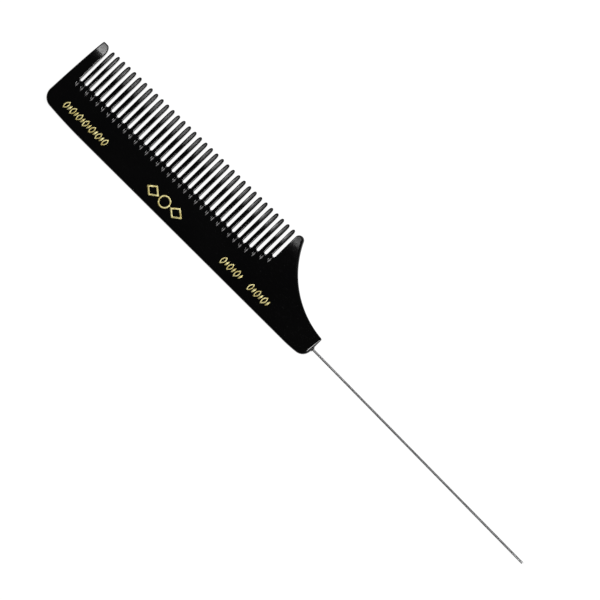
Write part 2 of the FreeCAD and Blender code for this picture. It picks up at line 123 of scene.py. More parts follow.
# start and end of each nick, across and below the root's lowest point, and its half width
NICKS = [((0.1, 0.46), (0.04, 2.8), 0.31), ((-0.66, 1.0), (-0.34, 2.3), 0.13)]

# x at which the teeth's finish sets in and ends, and y over which each ground finish sets in
TEETH_START = (5.4, 6.0)
TEETH_END = (93.4, 92.8)
TEETH_GROUND = (21.6, 24.2)
GUARDS_GROUND = (24.8, 27.2)
# how much of the ground finish reaches the line where an edge starts to round over
LEVEL_AT_RIM = 0.9
# points inside the guards: a column's number of points, then x and y span on the left, then
# y span and shares of the width on the right, which keep this far from the guard's flank,
# and this far from its flank and the neck together
COLUMN_POINTS = 9
LEFT_COLUMN = (3.1, (20.0, 27.2))
RIGHT_COLUMNS = ((20.5, 27.0), (0.2, 0.4, 0.6, 0.8))
COLUMN_INSET = (0.5, 2.0)
# about where the neck's arc is centred: x past the end face, and y
NECK_ABOUT = (2.5, 42.3)

PIN_RADIUS = 0.5
PIN_CANT = math.radians(0.736)
PIN_HEIGHT = 4.87
SHANK_LENGTH = 24.0
SHANK_RADIUS = 0.7
SHANK_CHAMFER = (0.4, 0.2)
SHANK_GROOVES = 4
GROOVE_START = 3
GROOVE_PITCH = 5
GROOVE_DEPTH = 0.12
# half width of a groove at its mouth and at its floor
GROOVE_HALF = (0.4, 0.2)
BORE_RADIUS = 0.82
MOUTH_RADIUS = 0.92
MOUTH_DEPTH = 0.5
BEAD_LENGTH = 0.3
# how far out of the end face the bead is still as wide as the mouth
BEAD_SEAT = 0.05
# length of wire beside the shank's step that shares the step's shading
STEP_RING = 0.02

BED_DEPTH = 0.1
BED_WALL = 0.02
FOIL_THICKNESS = 0.05
FOIL_LINE = 0.6
LEAF_SLANT = 0.9
OPEN_LEAF_WIDTH = 1.7
OPEN_LEAF_LINE = 0.45
SMALL_LEAF_WIDTH = 0.8
SMALL_LEAF_SHARE = 0.7
# x at which each mark starts, its length, its lowest y and its height
LEFT_MARK = (6.53, 20.55, 3.35, 3.22)
CENTRE_MARK = (45.78, 16.49, 2.65, 4.62)
RIGHT_MARK = (80.56, 23.31, 3.35, 3.35)
LEFT_LEAVES = 13
RIGHT_LEAVES = 6
RIGHT_BREAK = 2.2
RING_CLEARANCE = 0.1

FLOOR_REACH = 3000.0
FLOOR_CLEARANCE = 0.2
VIEW_WIDTH = 201.1
VIEW_CENTRE = (-3.05, -1.04)
VIEW_TURN = math.radians(44.814)
# a point among the first teeth, in the shared frame in metres
FIRST_TEETH = (-0.1, 0.012, 0.003)


def to_frame(points):
    """Plate coordinates in millimetres to the shared frame in metres."""
    return np.asarray(points) * MM + ORIGIN


# ---- shader helpers -------------------------------------------------------------


class Value:
    """A socket of a node tree; arithmetic on it adds Math nodes."""

    def __init__(self, recipe, socket):
        self.recipe = recipe
        self.socket = socket

    def math(self, operation, first, second):
        return self.recipe.node("ShaderNodeMath", {"operation": operation}, {0: first, 1: second})

    def __add__(self, other):
        return self.math("ADD", self, other)

    def __rsub__(self, other):
        return self.math("SUBTRACT", other, self)

    def __mul__(self, other):
        return self.math("MULTIPLY", self, other)

    __radd__ = __add__
    __rmul__ = __mul__

    def between(self, low, high):
        """0 at low, 1 at high, smooth in between and level beyond."""
        return self.recipe.node("ShaderNodeMapRange", {"interpolation_type": "SMOOTHSTEP"},
                                {"Value": self, "From Min": low, "From Max": high})


class Recipe:
    """A new material with a Principled shader, filled in by node and finish."""

    def __init__(self, name):
        self.material = bpy.data.materials.new(name)
        self.material.use_nodes = True
        self.tree = self.material.node_tree
        self.shader = self.tree.nodes["Principled BSDF"]

    def feed(self, socket, value):
        """Links a Value to a socket, or sets a plain value on it."""
        if isinstance(value, Value):
            self.tree.links.new(value.socket, socket)
        else:
            socket.default_value = value

    def node(self, kind, settings=None, sockets=None, out=0):
        """Adds a node: its settings first, then a value or a link for each socket."""
        made = self.tree.nodes.new(kind)
        for key, setting in (settings or {}).items():
            setattr(made, key, setting)
        for key, value in (sockets or {}).items():
            self.feed(made.inputs[key], value)
        return Value(self, made.outputs[out])

    def position(self, scale=(1, 1, 1), turn=0.0):
        """Object coordinates in millimetres, stretched by scale and turned about z."""
        where = self.node("ShaderNodeTexCoord", out=3)
        return self.node("ShaderNodeMapping", sockets={
            "Vector": where, "Scale": [s / MM for s in scale], "Rotation": (0.0, 0.0, turn)})

    def attribute(self, name):
        """A number that the mesh carries at each of its points."""
        return self.node("ShaderNodeAttribute", {"attribute_name": name}, out=2)

    def noise(self, where, scale, detail=2.0, roughness=0.5):
        """Cloudy pattern from 0 to 1."""
        return self.node("ShaderNodeTexNoise", sockets={
            "Vector": where, "Scale": scale, "Detail": detail, "Roughness": roughness})

    def mix(self, share, low, high):
        """Colour that goes from low to high."""
        return self.node("ShaderNodeMix", {"data_type": "RGBA"}, {0: share, 6: low, 7: high}, out=2)

    def bump(self, height, distance, under=None):
        """Normal from a height pattern, with distance in millimetres, laid over another bump."""
        sockets = {"Height": height, "Distance": distance * MM, "Strength": 1.0}
        if under is not None:
            sockets["Normal"] = under
        return self.node("ShaderNodeBump", sockets=sockets)

    def finish(self, **sockets):
        """Sets or links sockets of the Principled shader; _ in a name stands for a space."""
        for key, value in sockets.items():
            self.feed(self.shader.inputs[key.replace("_", " ")], value)
        return self.material


# ---- materials ------------------------------------------------------------------


def span_to_frame(span, axis):
    """Plate coordinates along x (axis 0) or y (axis 1), as Object coordinates in millimetres."""
    return [float(end + ORIGIN[axis] / MM) for end in span]


def black_acetate():
    """Polished black sheet plastic with fine scratches.

    Its level faces are satin where the teeth and the guards' tips were ground, and
    the nicks in which the saw ran out are frosted. Their light grey colour is partly frosted
    plastic and partly painted highlight.
    """
    r = Recipe("black_acetate")
    where = r.position()
    x = r.node("ShaderNodeSeparateXYZ", sockets={"Vector": where})
    y = r.node("ShaderNodeSeparateXYZ", sockets={"Vector": where}, out=1)
    toothed = x.between(*span_to_frame(TEETH_START, 0)) * x.between(*span_to_frame(TEETH_END, 0))
    on_teeth = toothed * y.between(*span_to_frame(TEETH_GROUND, 1))
    on_guards = (1.0 - toothed) * y.between(*span_to_frame(GUARDS_GROUND, 1))
    level = r.attribute("level")
    grain = r.noise(r.position((1, 9, 9), turn=1.5), 0.9, 3.0)
    hairline = r.noise(r.position((0.5, 14, 14), turn=0.18), 1.1).between(0.66, 0.72)
    cross_hairline = r.noise(r.position((0.5, 14, 14), turn=1.35), 1.3).between(0.68, 0.74)
    lines = hairline + cross_hairline
    haze = r.noise(where, 0.06, 3.0)
    # nick mask: frosting for roughness, and a light grey that is partly painted highlight for the
    # light the nicks catch
    frost_and_painted_glint = r.attribute("sawn") * (0.55 + 0.9 * r.noise(where, 2.4))
    ground = 0.3 * on_teeth + 0.13 * on_guards + 0.06 * grain * (on_teeth + on_guards)
    rough = 0.13 + 0.05 * haze + 0.06 * lines + level * ground + 0.3 * frost_and_painted_glint
    waves = r.bump(r.noise(where, 0.12, 1.0), 0.02)
    scratched = r.bump(lines, 0.003, under=waves)
    ground_marks = r.bump(grain * on_teeth * level, 0.01, under=scratched)
    plain = r.mix(haze, (0.0009, 0.0009, 0.001, 1), (0.0016, 0.0015, 0.0016, 1))
    # light grey in the nicks: partly frosted plastic, partly painted highlight
    colour = r.mix(frost_and_painted_glint, plain, (0.27, 0.262, 0.262, 1))
    return r.finish(Base_Color=colour, Roughness=rough, Normal=ground_marks, IOR=1.5)


def steel_wire():
    """Drawn and polished steel with faint lines along the wire."""
    r = Recipe("steel_wire")
    drawn = r.noise(r.position((0.04, 9, 9)), 1.0, 3.0)
    cloud = r.noise(r.position(), 0.25)
    colour = r.mix(cloud, (0.7, 0.7, 0.71, 1), (0.82, 0.82, 0.82, 1))
    return r.finish(Base_Color=colour, Metallic=1.0, Roughness=0.24 + 0.14 * drawn,
                    Normal=r.bump(drawn, 0.004))


def cement():
    """Dark set adhesive, slightly lumpy."""
    r = Recipe("cement")
    lumps = r.noise(r.position(), 2.2, 3.0)
    colour = r.mix(lumps, (0.008, 0.007, 0.006, 1), (0.022, 0.018, 0.014, 1))
    return r.finish(Base_Color=colour, Roughness=0.35 + 0.2 * lumps, Normal=r.bump(lumps, 0.05))


def gold_foil():
    """Hot-stamped gold foil: bright, a little uneven, with a few worn specks."""
    r = Recipe("gold_foil")
    where = r.position()
    cloud = r.noise(where, 0.7, 3.0)
    fine = r.noise(where, 5.0, 3.0)
    worn = r.noise(where, 2.6, 4.0, 0.7).between(0.66, 0.72)
    gold = r.mix(cloud.between(0.35, 0.65), (0.58, 0.47, 0.15, 1), (0.92, 0.84, 0.4, 1))
    colour = r.mix(worn, gold, (0.16, 0.12, 0.05, 1))
    return r.finish(Base_Color=colour, Metallic=0.3, Roughness=0.36 + 0.2 * fine,
                    Normal=r.bump(fine + cloud, 0.012))


# ---- curves in the plate's plane ------------------------------------------------


def line(start, end, count):
    """Straight run: start + t (end - start), without its last point."""
    t = np.linspace(0, 1, count, endpoint=False)[:, None]
    return np.array(start) * (1 - t) + np.array(end) * t


def arc(centre, radius, first, last, count):
    """Circle arc: centre + radius (cos a, sin a), without its last point."""
    a = np.linspace(first, last, count, endpoint=False)
    return np.column_stack([centre[0] + radius * np.cos(a), centre[1] + radius * np.sin(a)])


def bearing(start, end):
    """Angle of the way from start to end."""
    return math.atan2(end[1] - start[1], end[0] - start[0])


def at_distances(start, end, from_start, from_end, side):
    """Point at two distances from two points, left of the way between them, or right for side -1.

    Its foot on the way lies (apart^2 + from_start^2 - from_end^2) / (2 apart) from start.
    """
    apart = np.hypot(*(end - start))
    along = (apart ** 2 + from_start ** 2 - from_end ** 2) / (2 * apart)
    ahead = (end - start) / apart
    left = np.array([-ahead[1], ahead[0]])
    return start + along * ahead + side * math.sqrt(from_start ** 2 - along ** 2) * left


def touching_radius(along, across):
    """Radius of an arc that leaves a line and ends this far along and across it."""
    return (along ** 2 + across ** 2) / (2 * across)


def eased_corner(run, radius, lift):
    """Corner that eases off the spine on a long arc and turns up on a short one.

    With top = radius + lift, the long arc's radius is
    ((run - radius)^2 + top^2 - radius^2) / (2 lift), so both arcs touch where they
    meet. Gives both arcs' points, with x measured from the end face, spine first.
    """
    top = radius + lift
    long_radius = ((run - radius) ** 2 + top ** 2 - radius ** 2) / (2 * lift)
    turn = math.asin((run - radius) / (long_radius - radius))
    long_arc = arc((run, long_radius), long_radius, -math.pi / 2, -math.pi / 2 - turn, 10)
    short_arc = arc((radius, top), radius, -math.pi / 2 - turn, -math.pi, 22)
    return long_arc, short_arc


def inward(points, distance):
    """Points moved to the left of the direction of travel by distance."""
    ahead = np.roll(points, -1, 0) - np.roll(points, 1, 0)
    left = np.column_stack([-ahead[:, 1], ahead[:, 0]])
    left /= np.linalg.norm(left, axis=1)[:, None]
    return points + left * np.asarray(distance)[:, None]


# ---- comb plate -----------------------------------------------------------------


def half_thickness(y):
    """Half the plate's thickness at height y: level, then an arc's sag towards the tips."""
    sag = (THICKNESS - TIP_THICKNESS) / 2
    radius = touching_radius(TAPER_LENGTH, sag)
    into = np.clip(y - (WIDTH - TAPER_LENGTH), 0, None)
    return THICKNESS / 2 - radius + np.sqrt(radius ** 2 - into ** 2)


def face_slope(y):
    """Fall of the face per millimetre towards the tips."""
    radius = touching_radius(TAPER_LENGTH, (THICKNESS - TIP_THICKNESS) / 2)
    into = np.clip(y - (WIDTH - TAPER_LENGTH), 0, None)
    return into / np.sqrt(radius ** 2 - into ** 2)


def gap_layout():
    """Centre at mid tooth, width and root height of every gap, from the blunt end on.

    The gaps are evenly spaced, but the first CROWDED_GAPS shift towards the comb's
    middle by CROWDING times a share squared, and the last RISING_GAPS roots rise by
    ROOT_RISE times a share to the power 1.5. Each share is 1 at the outermost gap.
    """
    guard_x, guard_y = BODY_LENGTH - GUARD_SETBACK, WIDTH - GUARD_RADIUS
    last = guard_x - GUARD_RADIUS - GAP_WIDTH / 2 - (guard_y - TOOTH_MIDDLE) * LEAN
    first = LEFT_GUARD_WIDTH + NARROW_GAP_WIDTH / 2
    pitch = (last - first + CROWDING) / (GAPS - 1)
    index = np.arange(GAPS)
    early = np.clip((CROWDED_GAPS - index) / CROWDED_GAPS, 0, None)
    late = np.clip((index - (GAPS - 1 - RISING_GAPS)) / RISING_GAPS, 0, None)
    centre = last - pitch * (GAPS - 1 - index) + CROWDING * early ** 2
    width = np.where(index < NARROW_GAPS, NARROW_GAP_WIDTH, GAP_WIDTH)
    return centre, width, ROOT_HEIGHT + ROOT_RISE * late ** 1.5


def comb_row(tip_edge, root_edge):
    """Gaps and teeth from the neck's guard back to the blunt end's, moved inward by an edge.

    The edge changes evenly from point to point of a flank, from tip_edge at a tooth's
    tip to root_edge. The points lie closer together towards the tip, at the 2.2nd
    power of their share of the way down.

    A flank stands at half the tooth's width times tanh((depth / TIP_SHARPNESS)^0.6)
    from the tooth's leaning centre line, where depth is measured down from its tip. A
    root is a half circle. Each gap goes down its right flank, round its root and up
    its left one. The first teeth are shorter by SHORT_TOOTH exp(-number / SHORT_TEETH).
    """
    centre, width, root = gap_layout()
    tip = TIP_HEIGHT - SHORT_TOOTH * np.exp(-np.arange(GAPS - 1) / SHORT_TEETH)
    low = root + width / 2
    edges = centre[:, None] + width[:, None] / 2 * np.array([-1, 1])
    tooth_x = (edges[1:, 0] + edges[:-1, 1]) / 2
    half = (edges[1:, 0] - edges[:-1, 1]) / 2
    down = np.linspace(0, 1, FLANK_POINTS, endpoint=False)[None, :] ** 2.2
    edge = tip_edge + (root_edge - tip_edge) * down

    def flank(tooth_centre, half_width, top, bottom, side):
        depth = (top - bottom)[:, None] * down
        y = top[:, None] - depth
        reach = np.tanh((depth / TIP_SHARPNESS) ** 0.6) * (half_width[:, None] - edge)
        x = tooth_centre[:, None] + side * reach + (y - TOOTH_MIDDLE) * LEAN
        return np.stack([x, y], -1)

    right = flank(tooth_x, half, tip - tip_edge, low[:-1], -1)
    left = flank(tooth_x, half, tip - tip_edge, low[1:], 1)

    def guard_flank(gap, top, side):
        y = top - (top - low[gap]) * down[0]
        x = centre[gap] + side * (width[gap] / 2 + root_edge) + (y - TOOTH_MIDDLE) * LEAN
        return np.column_stack([x, y])[None]

    right = np.concatenate([right, guard_flank(GAPS - 1, WIDTH - GUARD_RADIUS, 1)])
    left = np.concatenate([guard_flank(0, LEFT_GUARD_TOP - LEFT_GUARD_SOFT[1], -1), left])
    turn = np.linspace(0, -math.pi, ROOT_POINTS)
    low_x = centre + (low - TOOTH_MIDDLE) * LEAN
    radius = (width / 2 + root_edge)[:, None]
    roots = np.stack([low_x[:, None] + radius * np.cos(turn),
                      low[:, None] + radius * np.sin(turn)], -1)
    rows = np.concatenate([right, roots, left[:, :0:-1]], axis=1)
    return rows[::-1].reshape(-1, 2)


def neck_stretches():
    """Outline along the spine, up the end face and the neck, and over the right guard.

    Each stretch is its points, its edge width at the start and that at the end.
    """
    corner = END_CORNER_RADIUS
    guard = np.array([BODY_LENGTH - GUARD_SETBACK, WIDTH - GUARD_RADIUS])
    end = np.array([BODY_LENGTH, END_FACE_TOP])
    neck = at_distances(guard, end, NECK_RADIUS + GUARD_RADIUS, NECK_RADIUS, 1)
    touch = bearing(guard, neck)
    neck_start = bearing(neck, end) - corner / NECK_RADIUS
    front_long, front_short = (
        p * [-1, 1] + [BODY_LENGTH, 0] for p in eased_corner(*FRONT_CORNER))
    front_top = FRONT_CORNER[1] + FRONT_CORNER[2]
    return [
        (line((BACK_CORNER[0], 0), (BODY_LENGTH - FRONT_CORNER[0], 0), 24), BACK_EDGE, BACK_EDGE),
        (front_long, BACK_EDGE, BACK_EDGE),
        (front_short, BACK_EDGE, END_EDGE),
        (line((BODY_LENGTH, front_top), (BODY_LENGTH, END_FACE_TOP - corner), 8),
         END_EDGE, END_TOP_EDGE),
        (arc(end - corner, corner, 0, math.pi / 2 - END_CORNER_CUT, 10),
         END_CORNER_EDGE, END_CORNER_EDGE),
        (arc(neck, NECK_RADIUS, neck_start, touch - math.pi, 70), END_CORNER_EDGE, NECK_EDGE),
        (arc(guard, GUARD_RADIUS, touch, math.pi, 20), NECK_EDGE, ROOT_EDGE),
    ]


def blunt_stretches():
    """Outline over the left guard and down the blunt end's bow to the spine, as in neck_stretches.

    The guard's inner shoulder is a quarter of an ellipse. The bow touches the low
    corner's circle from inside and ends where the top corner starts.
    """
    soft_wide, soft_tall = LEFT_GUARD_SOFT
    soft_y = LEFT_GUARD_TOP - soft_tall
    soft_x = LEFT_GUARD_WIDTH + (soft_y - TOOTH_MIDDLE) * LEAN - soft_wide
    quarter = np.linspace(0, math.pi / 2, 12, endpoint=False)
    top_corner = (BLUNT_LEAN + LEFT_GUARD_CORNER, LEFT_GUARD_TOP - LEFT_GUARD_CORNER)
    _, radius, lift = BACK_CORNER
    low = np.array([radius, radius + lift])
    high = np.array([BLUNT_LEAN, LEFT_GUARD_TOP - LEFT_GUARD_CORNER])
    bow = at_distances(low, high, BLUNT_RADIUS - radius, BLUNT_RADIUS, -1)
    back_long, back_short = eased_corner(*BACK_CORNER)
    bow_top, bow_low, turn_end = (angle % (2 * math.pi) for angle in (
        bearing(bow, high), bearing(bow, low), bearing(low, back_short[0])))
    return [
        (np.column_stack([soft_x + soft_wide * np.cos(quarter),
                          soft_y + soft_tall * np.sin(quarter)]), ROOT_EDGE, ROOT_EDGE),
        (line((soft_x, LEFT_GUARD_TOP), (top_corner[0], LEFT_GUARD_TOP), 4), ROOT_EDGE, ROOT_EDGE),
        (arc(top_corner, LEFT_GUARD_CORNER, math.pi / 2, math.pi, 8), ROOT_EDGE, ROOT_EDGE),
        (arc(bow, BLUNT_RADIUS, bow_top, bow_low, 24), ROOT_EDGE, BACK_EDGE),
        (arc(low, radius, bow_low, turn_end, 22), BACK_EDGE, BACK_EDGE),
        (np.concatenate([back_short[:1], back_long[:0:-1]]), BACK_EDGE, BACK_EDGE),
    ]


def plate_outline():
    """Outer loop of the plate, the loop where its flat faces begin, and the edge drop.

    Round the back, end face, neck and blunt end the inner loop lies inward by an edge
    width that changes evenly along each stretch; in the comb row it is comb_row again
    with its teeth narrowed.
    """
    before, row = neck_stretches(), comb_row(0.0, 0.0)
    stretches = before + [(row, ROOT_EDGE, ROOT_EDGE)] + blunt_stretches()
    outer = np.concatenate([points for points, _, _ in stretches])
    edges = np.concatenate([np.linspace(a, b, len(points)) for points, a, b in stretches])
    inner = inward(outer, edges)
    first = sum(len(points) for points, _, _ in before)
    inner[first:first + len(row)] = comb_row(TIP_EDGE, ROOT_EDGE)
    return outer, inner, np.minimum(edges, LARGEST_DROP * half_thickness(inner[:, 1]))


def saw_nicks():
    """Run-outs of the saw below the roots: leaf-shaped rims, each with a sunk middle line.

    At share t along a nick its rim stands half a width times sin(pi t^1.15) to each
    side, and its middle line sinks by the same share of the depth. The main nick
    carries on the line of the gap, and a short one beside it slants towards it.
    """
    centre, _, root = gap_layout()
    rims, middles = [], []
    t = np.linspace(0, 1, NICK_POINTS)
    swell = np.sin(math.pi * t ** 1.15)
    for start, end, half in NICKS:
        across, below = (np.interp(t, [0, 1], ends) for ends in zip(start, end))
        y = root[:, None] - below
        x = centre[:, None] + across + (y - TOOTH_MIDDLE) * LEAN
        rims.append(np.concatenate([
            np.stack([x - half * swell, y], -1),
            np.stack([x + half * swell, y], -1)[:, -2:0:-1],
        ], axis=1))
        middles.append(np.stack([x, y], -1)[:, 1:-1])
    return np.concatenate(rims), np.concatenate(middles), NICK_DEPTH * swell[1:-1]


def guard_columns():
    """Columns of points inside the two guards, so that the ground finish is even there.

    The right guard's columns stand at shares of the way from its flank to the neck,
    whose x is taken as its centre's less sqrt(neck radius^2 - (centre's y - y)^2).
    """
    left_x, left_span = LEFT_COLUMN
    columns = [np.column_stack([np.full(COLUMN_POINTS, left_x),
                                np.linspace(*left_span, COLUMN_POINTS)])]
    right_span, shares = RIGHT_COLUMNS
    y = np.linspace(*right_span, COLUMN_POINTS)
    neck_x = BODY_LENGTH + NECK_ABOUT[0] - np.sqrt(NECK_RADIUS ** 2 - (NECK_ABOUT[1] - y) ** 2)
    flank_x = BODY_LENGTH - GUARD_SETBACK - GUARD_RADIUS
    near, both = COLUMN_INSET
    for share in shares:
        columns.append(np.column_stack([flank_x + near + share * (neck_x - flank_x - both), y]))
    return columns


def at_bed_wall(loop, side):
    """Loop scaled about its middle by a bed wall's width: smaller for side -1, larger for 1."""
    middle = (loop.min(0) + loop.max(0)) / 2
    share = 1 + side * 2 * BED_WALL / np.ptp(loop, axis=0).min()
    return middle + (loop - middle) * share


def fill_face(rim, marks, side):
    """Triangles between the rim loop, the saw nicks, the guards' inner points and foil beds.

    Returns all points, how far each lies under the face, the triangles, and which
    points are the nicks' middle lines. The rim's points come first.
    """
    points, sunk, middle_flags, edges = [], [], [], []

    def add(loop, depth, closed=True, is_middle=False):
        first, count = sum(len(p) for p in points), len(loop)
        points.append(loop)
        sunk.append(np.broadcast_to(depth, count))
        middle_flags.append(np.full(count, is_middle))
        for k in range(count if closed else count - 1):
            edges.append((first + k, first + (k + 1) % count))

    add(rim, 0.0)
    rims, middles, depths = saw_nicks()
    for loop, middle in zip(rims, middles):
        add(loop, 0.0)
        add(middle, depths, closed=False, is_middle=True)
    for column in guard_columns():
        add(column, 0.0, closed=False)
    if side > 0:
        for outer, inner in marks:
            add(outer, 0.0)
            add(at_bed_wall(outer, -1), BED_DEPTH)
            if inner is not None:
                add(at_bed_wall(inner, 1), BED_DEPTH)
                add(inner, 0.0)
    flat = np.concatenate(points)
    found = delaunay_2d_cdt([tuple(p) for p in flat.tolist()], edges, [], 1, SAME_POINT)
    came_from = np.array([ids[0] if ids else -1 for ids in found[3]])
    assert (came_from >= 0).all(), "the face outline crosses itself"
    return flat, np.concatenate(sunk), came_from[np.array(found[2])], np.concatenate(middle_flags)


def face_normals(points, faces):
    """Unit normal of each triangle."""
    a, b, c = (points[faces[:, k]] for k in range(3))
    normal = np.cross(b - a, c - a)
    return normal / np.linalg.norm(normal, axis=1)[:, None]


def edge_rows(outer, inner, drop):
    """Rows of points round the plate's edge, from the lower face to the upper, and their normals.

    At angle a the elliptical profile stands inward by edge (1 - cos a) and below the
    face by drop (1 - sin a), on both sides of a straight wall.
    """
    angles = np.linspace(0, math.pi / 2, EDGE_POINTS)
    away = outer - inner
    edge = np.linalg.norm(away, axis=1)
    away /= edge[:, None]
    face, slope = half_thickness(inner[:, 1]), face_slope(inner[:, 1])
    rows, normals = [], []
    for side, turn in ((-1, angles[::-1]), (1, angles)):
        for a in turn:
            flat = outer + (inner - outer) * (1 - math.cos(a))
            height = side * (face - drop * (1 - math.sin(a)))
            rows.append(np.column_stack([flat, height]))
            normal = np.column_stack([
                away * (math.cos(a) / edge)[:, None],
                side * math.sin(a) / drop])
            normal[:, 1] += math.sin(a) / drop * slope
            normals.append(normal / np.linalg.norm(normal, axis=1)[:, None])
    return rows, normals


def comb_plate(marks):
    """The plate: its rounded edge carried round the outline and closed by two filled faces.

    Its points carry how sawn they are and how much of the ground finish they take.
    """
    outer, inner, drop = plate_outline()
    count = len(outer)
    rows, row_normals = edge_rows(outer, inner, drop)
    points, normals = [np.concatenate(rows)], [np.concatenate(row_normals)]
    faces = grid_faces(len(rows), count, False, True)
    sharp = [np.zeros(len(faces), bool)]
    total = len(points[0])
    sawn, level = [np.zeros(total)], [np.zeros(total)]
    level[0][:count] = level[0][-count:] = LEVEL_AT_RIM
    for side, rim in ((-1, np.arange(count)), (1, np.arange(total - count, total))):
        flat, sunk, triangles, middles = fill_face(inner, marks, side)
        added, sunk, extra = flat[count:], sunk[count:], len(flat) - count
        points.append(np.column_stack([added, side * (half_thickness(added[:, 1]) - sunk)]))
        up = np.column_stack([np.zeros(extra), face_slope(added[:, 1]), np.full(extra, side)])
        normals.append(up / np.linalg.norm(up, axis=1)[:, None])
        sawn.append(middles[count:] * sunk / NICK_DEPTH)
        level.append(np.ones(extra))
        number = np.concatenate([rim, total + np.arange(extra)])
        triangles = triangles[:, ::side]
        faces += number[triangles].tolist()
        sharp.append(middles[triangles].any(1))
        total += extra
    points, sharp = np.concatenate(points), np.concatenate(sharp)
    piece = new_piece("plate_body", points, faces)
    loop_normals = np.concatenate(normals)[np.concatenate(faces)]
    sizes = np.array([len(f) for f in faces])
    own = face_normals(points, np.array([f for f, s in zip(faces, sharp) if s]))
    loop_normals[np.repeat(sharp, sizes)] = np.repeat(own, 3, axis=0)
    piece.data.normals_split_custom_set(loop_normals.tolist())
    for name, share in (("sawn", sawn), ("level", level)):
        values = piece.data.attributes.new(name, "FLOAT", "POINT").data
        values.foreach_set("value", np.concatenate(share))
    return piece


# ---- pieces in general ----------------------------------------------------------


def new_piece(name, points, faces, merge=False):
    """Mesh object from plate coordinates; merge joins doubled points and turns faces out."""
    mesh = bpy.data.meshes.new(name)
    mesh.from_pydata(to_frame(points).tolist(), [], faces)
    mesh.polygons.foreach_set("use_smooth", np.ones(len(mesh.polygons), bool))
    if merge:
        work = bmesh.new()
        work.from_mesh(mesh)
        bmesh.ops.remove_doubles(work, verts=work.verts, dist=SAME_POINT)
        bmesh.ops.recalc_face_normals(work, faces=work.faces)
        work.to_mesh(mesh)
        work.free()
    mesh.validate()
    piece = bpy.data.objects.new(name, mesh)
    bpy.context.scene.collection.objects.link(piece)
    return piece


def grid_faces(rows, columns, close_rows, close_columns):
    """Quads of a grid whose point (i, j) is number i * columns + j."""
    i = np.arange(rows if close_rows else rows - 1)
    j = np.arange(columns if close_columns else columns - 1)
    i, j = (a.ravel() for a in np.meshgrid(i, j, indexing="ij"))
    k, m = (i + 1) % rows, (j + 1) % columns
    corners = [row * columns + column for row, column in ((i, j), (i, m), (k, m), (k, j))]
    return np.column_stack(corners).tolist()


def turned(name, profile, segments=48):
    """Solid of revolution about the tail pin's axis.

    A profile point (along, radius) at angle a goes to along the axis, plus
    radius (cos a, sin a) across it; the axis is canted towards the spine.
    """
    profile = np.array(profile, float)
    angle = np.linspace(0, 2 * math.pi, segments, endpoint=False)
    along = np.broadcast_to(profile[:, :1], (len(profile), segments))
    across = profile[:, 1:] * np.cos(angle)
    height = profile[:, 1:] * np.sin(angle)
    x = BODY_LENGTH + along * math.cos(PIN_CANT) + across * math.sin(PIN_CANT)
    y = PIN_HEIGHT - along * math.sin(PIN_CANT) + across * math.cos(PIN_CANT)
    points = np.stack([x, y, height], -1).reshape(-1, 3)
    return new_piece(name, points, grid_faces(len(profile), segments, False, True), merge=True)


def grooved_shank():
    """Outline of the buried shank: a chamfered end, shallow grooves and a plain neck."""
    chamfer_length, chamfer_depth = SHANK_CHAMFER
    mouth, floor = GROOVE_HALF
    points = [(-SHANK_LENGTH, SHANK_RADIUS - chamfer_depth),
              (-SHANK_LENGTH + chamfer_length, SHANK_RADIUS)]
    for groove in range(SHANK_GROOVES):
        at = -SHANK_LENGTH + GROOVE_START + GROOVE_PITCH * groove
        points += [(at - mouth, SHANK_RADIUS), (at - floor, SHANK_RADIUS - GROOVE_DEPTH),
                   (at + floor, SHANK_RADIUS - GROOVE_DEPTH), (at + mouth, SHANK_RADIUS)]
    return points + [(BEAD_LENGTH, SHANK_RADIUS)]


def tail_pin():
    """Wire with a grooved shank and a half-round tip."""
    length = (OVERALL_LENGTH - BODY_LENGTH) / math.cos(PIN_CANT)
    a = np.linspace(0, math.pi / 2, 9)
    tip = np.column_stack([length - PIN_RADIUS + PIN_RADIUS * np.sin(a), PIN_RADIUS * np.cos(a)])
    tip[-1, 1] = 0
    plain = line((BEAD_LENGTH + STEP_RING, PIN_RADIUS), (length - PIN_RADIUS, PIN_RADIUS), 20)
    step = [(BEAD_LENGTH, PIN_RADIUS)]
    profile = [(-SHANK_LENGTH, 0)] + grooved_shank() + step + plain.tolist() + tip.tolist()
    return turned("tail_wire", profile)


def pin_cement():
    """Thin sleeve between bore and shank, ending in a domed bead on the end face."""
    a = np.linspace(0, math.pi / 2, 9)
    bead = np.column_stack([BEAD_SEAT + (BEAD_LENGTH - BEAD_SEAT) * np.sin(a),
                            SHANK_RADIUS + (MOUTH_RADIUS - SHANK_RADIUS) * np.cos(a)])
    end = -SHANK_LENGTH - (BORE_RADIUS - SHANK_RADIUS)
    outside = [(end, 0), (end, BORE_RADIUS), (-MOUTH_DEPTH, BORE_RADIUS)]
    inside = grooved_shank()[::-1] + [(-SHANK_LENGTH, 0)]
    return turned("cement_bead", outside + bead.tolist() + inside)


# ---- foil ornaments -------------------------------------------------------------


def leaf(x, y, lean, tall, width):
    """Leaf about its middle.

    At share t along its slanted line both sides stand out by 2 width t (1 - t).
    """
    t = np.linspace(0, 1, 15)[:, None]
    axis = np.array([lean, tall])
    across = np.array([-tall, lean]) / np.hypot(*axis)
    middle = np.array([x, y]) + (t - 0.5) * axis
    out = 2 * width * t * (1 - t) * across
    return np.concatenate([middle - out, (middle + out)[-2:0:-1]])


